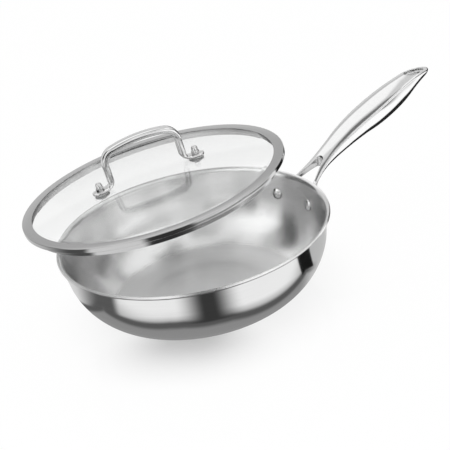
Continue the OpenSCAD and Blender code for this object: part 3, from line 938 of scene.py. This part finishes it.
def rivet(name, side, material):
    """Solid rivet with its domed head inside the pan and its formed end outside the pad."""
    head = [
        (RIVET_HEAD_R * math.sin(a), -WALL_T - HEAD_SEAT - RIVET_HEAD_H * math.cos(a))
        for a in np.radians(np.linspace(0, 90, CAP_STEPS + 1))
    ]
    tail_z = PAD_T + SEAT
    tail_r = RIVET_TAIL_H / 2
    tail = arc(RIVET_TAIL_R - tail_r, tail_z + tail_r, tail_r, 0, 90, TAIL_STEPS)
    profile = (
        head
        + [(RIVET_R, -WALL_T - HEAD_SEAT), (RIVET_R, tail_z), (RIVET_TAIL_R, tail_z)]
        + tail
        + [(0, tail_z + RIVET_TAIL_H)]
    )
    mesh = turn_mesh(name, profile, SMALL_TURN_STEPS)
    mesh.set_sharp_from_angle(angle=RIVET_SHARP)
    add_piece(name + "_steel", mesh, "pan", material, at_rivet(side), (name,))


# Lid


def glass_arc(radius, foot_z):
    """One side of the glass from the middle to the start of its flat edge."""
    turn = math.asin(math.sqrt(radius**2 - (foot_z - SPHERE_Z) ** 2) / radius)
    angles = np.linspace(0, turn, DOME_STEPS + 1)
    return [(radius * math.sin(a), SPHERE_Z + radius * math.cos(a)) for a in angles]


def lid_glass(material, place):
    """Domed glass with a flat rim."""
    edge_r = LID_R - BAND_T - GLASS_PLAY
    profile = (
        glass_arc(SPHERE_R - GLASS_T, BAND_T)
        + [(edge_r, BAND_T), (edge_r, DOME_Z)]
        + glass_arc(SPHERE_R, DOME_Z)[::-1]
    )
    mesh = turn_mesh("lid_glass", profile)
    add_piece("lid_glass_dome", mesh, "lid", material, place, ("lid_glass",), GLASS_BEVEL)


def lid_band(material, place):
    """Steel band folded round the glass's rim, with its hanging skirt."""
    skirt_r = LID_R - SKIRT_INSET
    top_r = LID_R - BAND_W
    roll = BAND_T
    profile = [
        (skirt_r - BAND_T, -SKIRT_H),
        (skirt_r, -SKIRT_H),
        (skirt_r, 0),
        *arc(LID_R - roll, roll, roll, -90, 0, ROLL_STEPS),
        *arc(LID_R - roll, BAND_H - roll, roll, 0, 90, ROLL_STEPS),
        (top_r, BAND_H),
        (top_r, BAND_H - BAND_T),
        (LID_R - BAND_T, BAND_H - BAND_T),
        (LID_R - BAND_T, BAND_T),
        (skirt_r - BAND_T, BAND_T),
    ]
    mesh = turn_mesh("lid_band", profile)
    add_piece("lid_band_steel", mesh, "lid", material, place, ("lid_band",), SHEET_BEVEL)


def loop_line():
    """Middle line of the loop: along, up, width and thickness at each station."""
    foot_mid = SEAT + GASKET_T + FOOT_T / 2
    leg_x = LEG_SPAN / 2
    arch_top = DOME_Z + ARCH_H
    arch_r = (leg_x - CORNER_BEND_R * (1 - math.sin(ARCH_FALL))) / math.sin(ARCH_FALL)
    arch_end_z = arch_top - arch_r * (1 - math.cos(ARCH_FALL))
    corner_x = leg_x - CORNER_BEND_R
    corner_z = arch_end_z - CORNER_BEND_R * math.cos(ARCH_FALL)
    foot_x = (SPHERE_R + foot_mid) * math.sin(FOOT_TILT)
    foot_z = SPHERE_Z + (SPHERE_R + foot_mid) * math.cos(FOOT_TILT)
    bend_x = leg_x + FOOT_BEND_R
    bend_end_x = bend_x - FOOT_BEND_R * math.sin(FOOT_TILT)
    flat_z = foot_z + (foot_x - bend_end_x) * math.tan(FOOT_TILT)
    bend_z = flat_z + FOOT_BEND_R * math.cos(FOOT_TILT)
    foot_round = FOOT_W / 2
    flat_len = foot_x + FOOT_END * math.cos(FOOT_TILT) - bend_end_x - foot_round
    half = []

    def add(x, z, width, thickness):
        half.append((x, z, width, thickness))

    for a in np.linspace(0, ARCH_FALL, BEND_STEPS + 1)[1:]:
        add(arch_r * math.sin(a), arch_top - arch_r * (1 - math.cos(a)), BAR_W, BAR_T)
    for t in np.linspace(0, 1, BEND_STEPS + 1)[1:]:
        a = ARCH_FALL + (math.pi / 2 - ARCH_FALL) * t
        x, z = CORNER_BEND_R * math.sin(a), CORNER_BEND_R * math.cos(a)
        add(corner_x + x, corner_z + z, BAR_W + (LEG_W - BAR_W) * t, BAR_T)
    for t in np.linspace(0, 1, LEG_STEPS + 1)[1:-1]:
        add(leg_x, corner_z + (bend_z - corner_z) * t, LEG_W, BAR_T)
    for t in np.linspace(0, 1, BEND_STEPS + 1):
        a = (math.pi / 2 - FOOT_TILT) * t
        x, z = FOOT_BEND_R * math.cos(a), FOOT_BEND_R * math.sin(a)
        thickness = BAR_T + (FOOT_T - BAR_T) * math.sin(math.pi / 2 * t)
        add(bend_x - x, bend_z - z, LEG_W + (FOOT_W - LEG_W) * t * t, thickness)
    flat = [(d, FOOT_W) for d in np.linspace(0, flat_len, FOOT_STEPS + 1)[1:]]
    for a in np.linspace(0, FOOT_ROUND_TURN, FOOT_ROUND_STEPS + 1)[1:]:
        flat.append((flat_len + foot_round * math.sin(a), FOOT_W * math.cos(a)))
    for d, width in flat:
        add(bend_end_x + d, flat_z - d * math.tan(FOOT_TILT), width, FOOT_T)
    left = [(-x, z, width, thickness) for x, z, width, thickness in half[::-1]]
    return np.array(left + [(0, arch_top, BAR_W, BAR_T)] + half)


def lid_handle(material, place):
    """Loop handle bent from flat bar, with flattened round-ended feet."""
    line = loop_line()
    for _ in range(LOOP_PASSES):
        line[1:-1, 2:] = (line[:-2, 2:] + 2 * line[1:-1, 2:] + line[2:, 2:]) / 4
    points = []
    for i, (x, z, width, thickness) in enumerate(line):
        run = line[min(i + 1, len(line) - 1), :2] - line[max(i - 1, 0), :2]
        across = np.array([-run[1], run[0]]) / np.linalg.norm(run)
        for a in 2 * math.pi * np.arange(LOOP_SIDES) / LOOP_SIDES:
            c, s = math.cos(a), math.sin(a)
            out = thickness / 2 * math.copysign(abs(s) ** BAR_SQUARE, s)
            wide = width / 2 * math.copysign(abs(c) ** BAR_SQUARE, c)
            points.append((x + across[0] * out, wide, z + across[1] * out))
    mesh = make_mesh("lid_handle", points, tube_faces(len(line), LOOP_SIDES))
    place = place @ turned(LOOP_AZIMUTH, "Z")
    add_piece("lid_loop", mesh, "lid", material, place, ("lid_handle",))


def hexagon(flats):
    """Radius of a hexagon at an angle, from its width across flats."""

    def radius(angle):
        turn = (angle + math.pi / 6) % (math.pi / 3) - math.pi / 6
        return flats / 2 / math.cos(turn)

    return radius


def cap_nut(name, side, material, place):
    """Cap nut: a chamfered hexagon under a round acorn cap, with its bore."""
    corner_r = NUT_AF / 2 / math.cos(math.pi / 6)
    hexagonal = hexagon(NUT_AF)
    bore_r = SCREW_R + THREAD_PLAY
    bore_h = NUT_HEX_H + NUT_CAP_H

    def shape(radius, angle):
        turn = angle + math.pi / 6
        return min(radius, hexagonal(turn)) if radius > NUT_CAP_R + 0.01 else radius

    dome = arc(0, bore_h, NUT_CAP_R, 0, 90, CAP_STEPS)
    profile = [
        (bore_r, 0),
        (corner_r - NUT_CHAMFER, 0),
        (corner_r, NUT_CHAMFER / 2),
        (corner_r, NUT_HEX_H - NUT_CHAMFER / 2),
        (corner_r - NUT_CHAMFER, NUT_HEX_H),
        (NUT_CAP_R, NUT_HEX_H),
        *dome,
        (0, bore_h),
        (bore_r, bore_h),
    ]
    mesh = turn_mesh(name, profile, SMALL_TURN_STEPS, shape)
    mesh.set_sharp_from_angle(angle=FITTING_SHARP)
    place = place @ at_foot(side) @ moved(z=FOOT_TOP)
    add_piece(name + "_steel", mesh, "lid", material, place, (name,))


def flat_ring(name, side, low, sizes, material, place):
    """Washer or gasket, with its radius, its thickness and the rounding of its edges."""
    outer_r, thickness, r = sizes
    inner_r = SCREW_R + HOLE_PLAY
    profile = [
        *arc(inner_r + r, r, r, 180, 270, RING_STEPS),
        *arc(outer_r - r, r, r, 270, 360, RING_STEPS),
        *arc(outer_r - r, thickness - r, r, 0, 90, RING_STEPS),
        *arc(inner_r + r, thickness - r, r, 90, 180, RING_STEPS),
    ]
    mesh = turn_mesh(name, profile, SMALL_TURN_STEPS)
    place = place @ at_foot(side) @ moved(z=low)
    add_piece(name + "_ring", mesh, "lid", material, place, (name,))


def lid_screw(name, side, material, place):
    """Screw with its domed head and hexagonal socket under the glass."""
    head_z = UNDER_GLASS - GASKET_T - WASHER_T
    end_z = FOOT_TOP + NUT_HEX_H + NUT_CAP_H - END_SEAT
    socket = hexagon(2 * SOCKET_R)
    rim = SOCKET_R / math.cos(math.pi / 6) + 0.05

    def shape(radius, angle):
        return socket(angle) if radius == SOCKET_R else radius

    dome = [
        (SCREW_HEAD_R * math.sin(a), head_z - SCREW_HEAD_H * math.cos(a))
        for a in np.linspace(math.asin(rim / SCREW_HEAD_R), math.pi / 2, SCREW_HEAD_STEPS + 1)
    ]
    mouth_z = dome[0][1]
    profile = [
        (0, mouth_z + SOCKET_DEPTH),
        (SOCKET_R, mouth_z + SOCKET_DEPTH),
        (SOCKET_R, mouth_z),
        *dome,
        (SCREW_R, head_z),
        (SCREW_R, end_z - SCREW_CHAMFER),
        (SCREW_R - SCREW_CHAMFER, end_z),
        (0, end_z),
    ]
    mesh = turn_mesh(name, profile, SMALL_TURN_STEPS, shape)
    mesh.set_sharp_from_angle(angle=FITTING_SHARP)
    add_piece(name + "_steel", mesh, "lid", material, place @ at_foot(side), (name,))


# Setting


def painted(nodes, tone, azimuth, place, patches):
    """Base tone with soft-edged patches painted over it, by azimuth and by height or distance."""
    for middle, width, edge, low, high, fade, colour in patches:
        off = nodes.away(azimuth, middle)
        across = nodes.remap(off, width / 2, width / 2 + edge, 1.0, 0.0, smooth=True)
        rise = nodes.remap(place, low - fade, low, 0.0, 1.0, smooth=True)
        fall = nodes.remap(place, high, high + fade, 1.0, 0.0, smooth=True)
        share = nodes.math("MULTIPLY", across, nodes.math("MULTIPLY", rise, fall))
        mix = nodes.add("Mix", data_type="FLOAT")
        for socket, value in zip(mix.inputs, (share, None, tone, colour)):
            if value is not None:
                nodes.put(socket, value)
        tone = mix.outputs[0]
    return tone


def seen_directly(nodes, light):
    """1 for the camera's rays, also where they pass through glass, and 0 for reflected rays."""
    unbent = nodes.math("LESS_THAN", light.outputs["Glossy Depth"], 0.5)
    through = nodes.math("MULTIPLY", light.outputs["Is Transmission Ray"], unbent)
    return nodes.math("MAXIMUM", light.outputs["Is Camera Ray"], through)


def floor():
    """Plain pale floor with the object's shadow. It is white to the camera and through the glass,
    and reflections see it with painted shade under the pan and with the painted bright and dark
    places of the studio."""
    material, nodes, output = new_material("floor_paper")
    x, y, _, radius = polar(nodes)
    azimuth = nodes.azimuth(x, y)
    reach = 0.0
    for angle, distance in FLOOR_EDGES:
        share = FLOOR_EDGE_AT / distance
        along = nodes.math("MULTIPLY", x, math.cos(math.radians(angle)) * share)
        along = nodes.math("MULTIPLY_ADD", y, math.sin(math.radians(angle)) * share, along)
        reach = nodes.math("MAXIMUM", reach, along)
    light = nodes.add("LightPath")
    seen = seen_directly(nodes, light)
    off = nodes.away(azimuth, FLOOR_SHADE_AZIMUTH)
    near = nodes.remap(off, *FLOOR_SHADE_WIDTH, FLOOR_WHITE_NEAR, FLOOR_WHITE_SIDE, smooth=True)
    near = nodes.remap(light.outputs["Is Camera Ray"], 0.0, 1.0, FLOOR_WHITE_GLASS, near)
    ends = (FLOOR_SHADE_IN, FLOOR_SHADE_OUT)
    share = nodes.remap(radius, *ends, near, FLOOR_WHITE_FAR, smooth=True)
    values = {"Base Color": (FLOOR_GREY, FLOOR_GREY, FLOOR_GREY, 1), "Roughness": FLOOR_ROUGHNESS}
    paper = nodes.add("BsdfPrincipled", values)
    white = nodes.glow("Emission", WHITE)
    lit = nodes.mix(nodes.math("MULTIPLY", seen, share), paper, white)
    # Painted shade under the pan and painted studio patches, seen only in reflections
    tone = painted(nodes, FLOOR_TONE, azimuth, reach, FLOOR_PATCHES)
    studio = nodes.glow("Emission", nodes.grey(tone))
    unseen = nodes.math("SUBTRACT", 1.0, seen)
    reflected = nodes.math("MULTIPLY", light.outputs["Is Glossy Ray"], unseen)
    nodes.put(output.inputs["Surface"], nodes.mix(reflected, lit, studio).outputs[0])
    size = FLOOR_SIZE / 2
    corners = [(-size, -size, 0), (size, -size, 0), (size, size, 0), (-size, size, 0)]
    mesh = make_mesh("floor", corners, [(0, 1, 2, 3)])
    mesh.materials.append(material)
    piece = bpy.data.objects.new("floor", mesh)
    bpy.context.scene.collection.objects.link(piece)


def studio_world():
    """Even soft light for every surface. Reflections see the studio's soft boxes and gaps in it."""
    world = bpy.data.worlds.new("studio")
    bpy.context.scene.world = world
    world.use_nodes = True
    nodes = Nodes(world.node_tree)
    output = nodes.add("OutputWorld")
    split = nodes.add("SeparateXYZ", {0: nodes.add("TexCoord").outputs["Generated"]})
    x, y, z = split.outputs
    height = nodes.math("DEGREES", nodes.math("ARCSINE", z))
    tone = painted(nodes, SKY_TONE, nodes.azimuth(x, y), height, SKY_PATCHES)
    studio = nodes.glow("Background", nodes.grey(tone))
    even = nodes.glow("Background", WHITE, EVEN_LIGHT)
    white = nodes.glow("Background", WHITE)
    light = nodes.add("LightPath")
    lit = nodes.mix(light.outputs["Is Glossy Ray"], even, studio)
    mix = nodes.mix(seen_directly(nodes, light), lit, white)
    nodes.put(output.inputs["Surface"], mix.outputs[0])


def key_lamp():
    """Large soft lamp above and behind. The studio's patches take its place in reflections."""
    lamp = bpy.data.lights.new("key", "AREA")
    lamp.shape = "DISK"
    lamp.size = KEY_SIZE
    lamp.energy = KEY_POWER
    piece = bpy.data.objects.new("key", lamp)
    piece.location = KEY_PLACE
    aim = Vector(KEY_TARGET) - Vector(KEY_PLACE)
    piece.rotation_euler = aim.to_track_quat("-Z", "Y").to_euler()
    piece.visible_glossy = False
    bpy.context.scene.collection.objects.link(piece)


def photo_camera():
    """Camera at the photograph's viewing angle, rolled as the photograph is."""
    camera = bpy.data.cameras.new("camera")
    camera.lens = CAMERA_LENS
    camera.sensor_width = CAMERA_SENSOR
    camera.clip_end = CAMERA_END
    piece = bpy.data.objects.new("camera", camera)
    right, down, forward = (Vector(v) for v in (CAMERA_RIGHT, CAMERA_DOWN, CAMERA_FORWARD))
    turn = Matrix((right, -down, -forward)).transposed().to_4x4()
    piece.matrix_world = Matrix.Translation(CAMERA_PLACE) @ turn
    bpy.context.scene.collection.objects.link(piece)
    bpy.context.scene.camera = piece


def build():
    """Every piece of the object, then its setting."""
    pan_layer("inner_steel_layer", WALL_T - STEEL_T, WALL_T, satin_inside())
    pan_layer("aluminium_core", STEEL_T, WALL_T - STEEL_T, brushed("aluminium_core"))
    pan_layer("outer_steel_layer", 0, STEEL_T, brushed("steel_outside"))
    long_handle(cast_polished("steel_cast"))
    place = lifted()
    lid_glass(clear_glass(), place)
    lid_band(brushed("steel_band"), place)
    lid_handle(cast_polished("steel_loop"), place)
    rivet_steel, nut_steel = brushed("steel_rivet"), brushed("steel_nut")
    washer_steel, screw_steel = brushed("steel_washer"), brushed("steel_screw")
    silicone = milky_silicone()
    gasket = (GASKET_R, GASKET_T, GASKET_ROUND)
    washer = (WASHER_R, WASHER_T, WASHER_ROUND)
    low = UNDER_GLASS - GASKET_T
    for name, side in (("left", -1), ("right", 1)):
        rivet("rivet_" + name, -side, rivet_steel)
        cap_nut("cap_nut_" + name, side, nut_steel, place)
        flat_ring("upper_gasket_" + name, side, SEAT, gasket, silicone, place)
        flat_ring("lower_gasket_" + name, side, low, gasket, silicone, place)
        flat_ring("washer_" + name, side, low - WASHER_T, washer, washer_steel, place)
        lid_screw("lid_screw_" + name, side, screw_steel, place)
    floor()
    studio_world()
    key_lamp()
    photo_camera()
    bpy.context.scene.view_settings.view_transform = "Standard"


build()
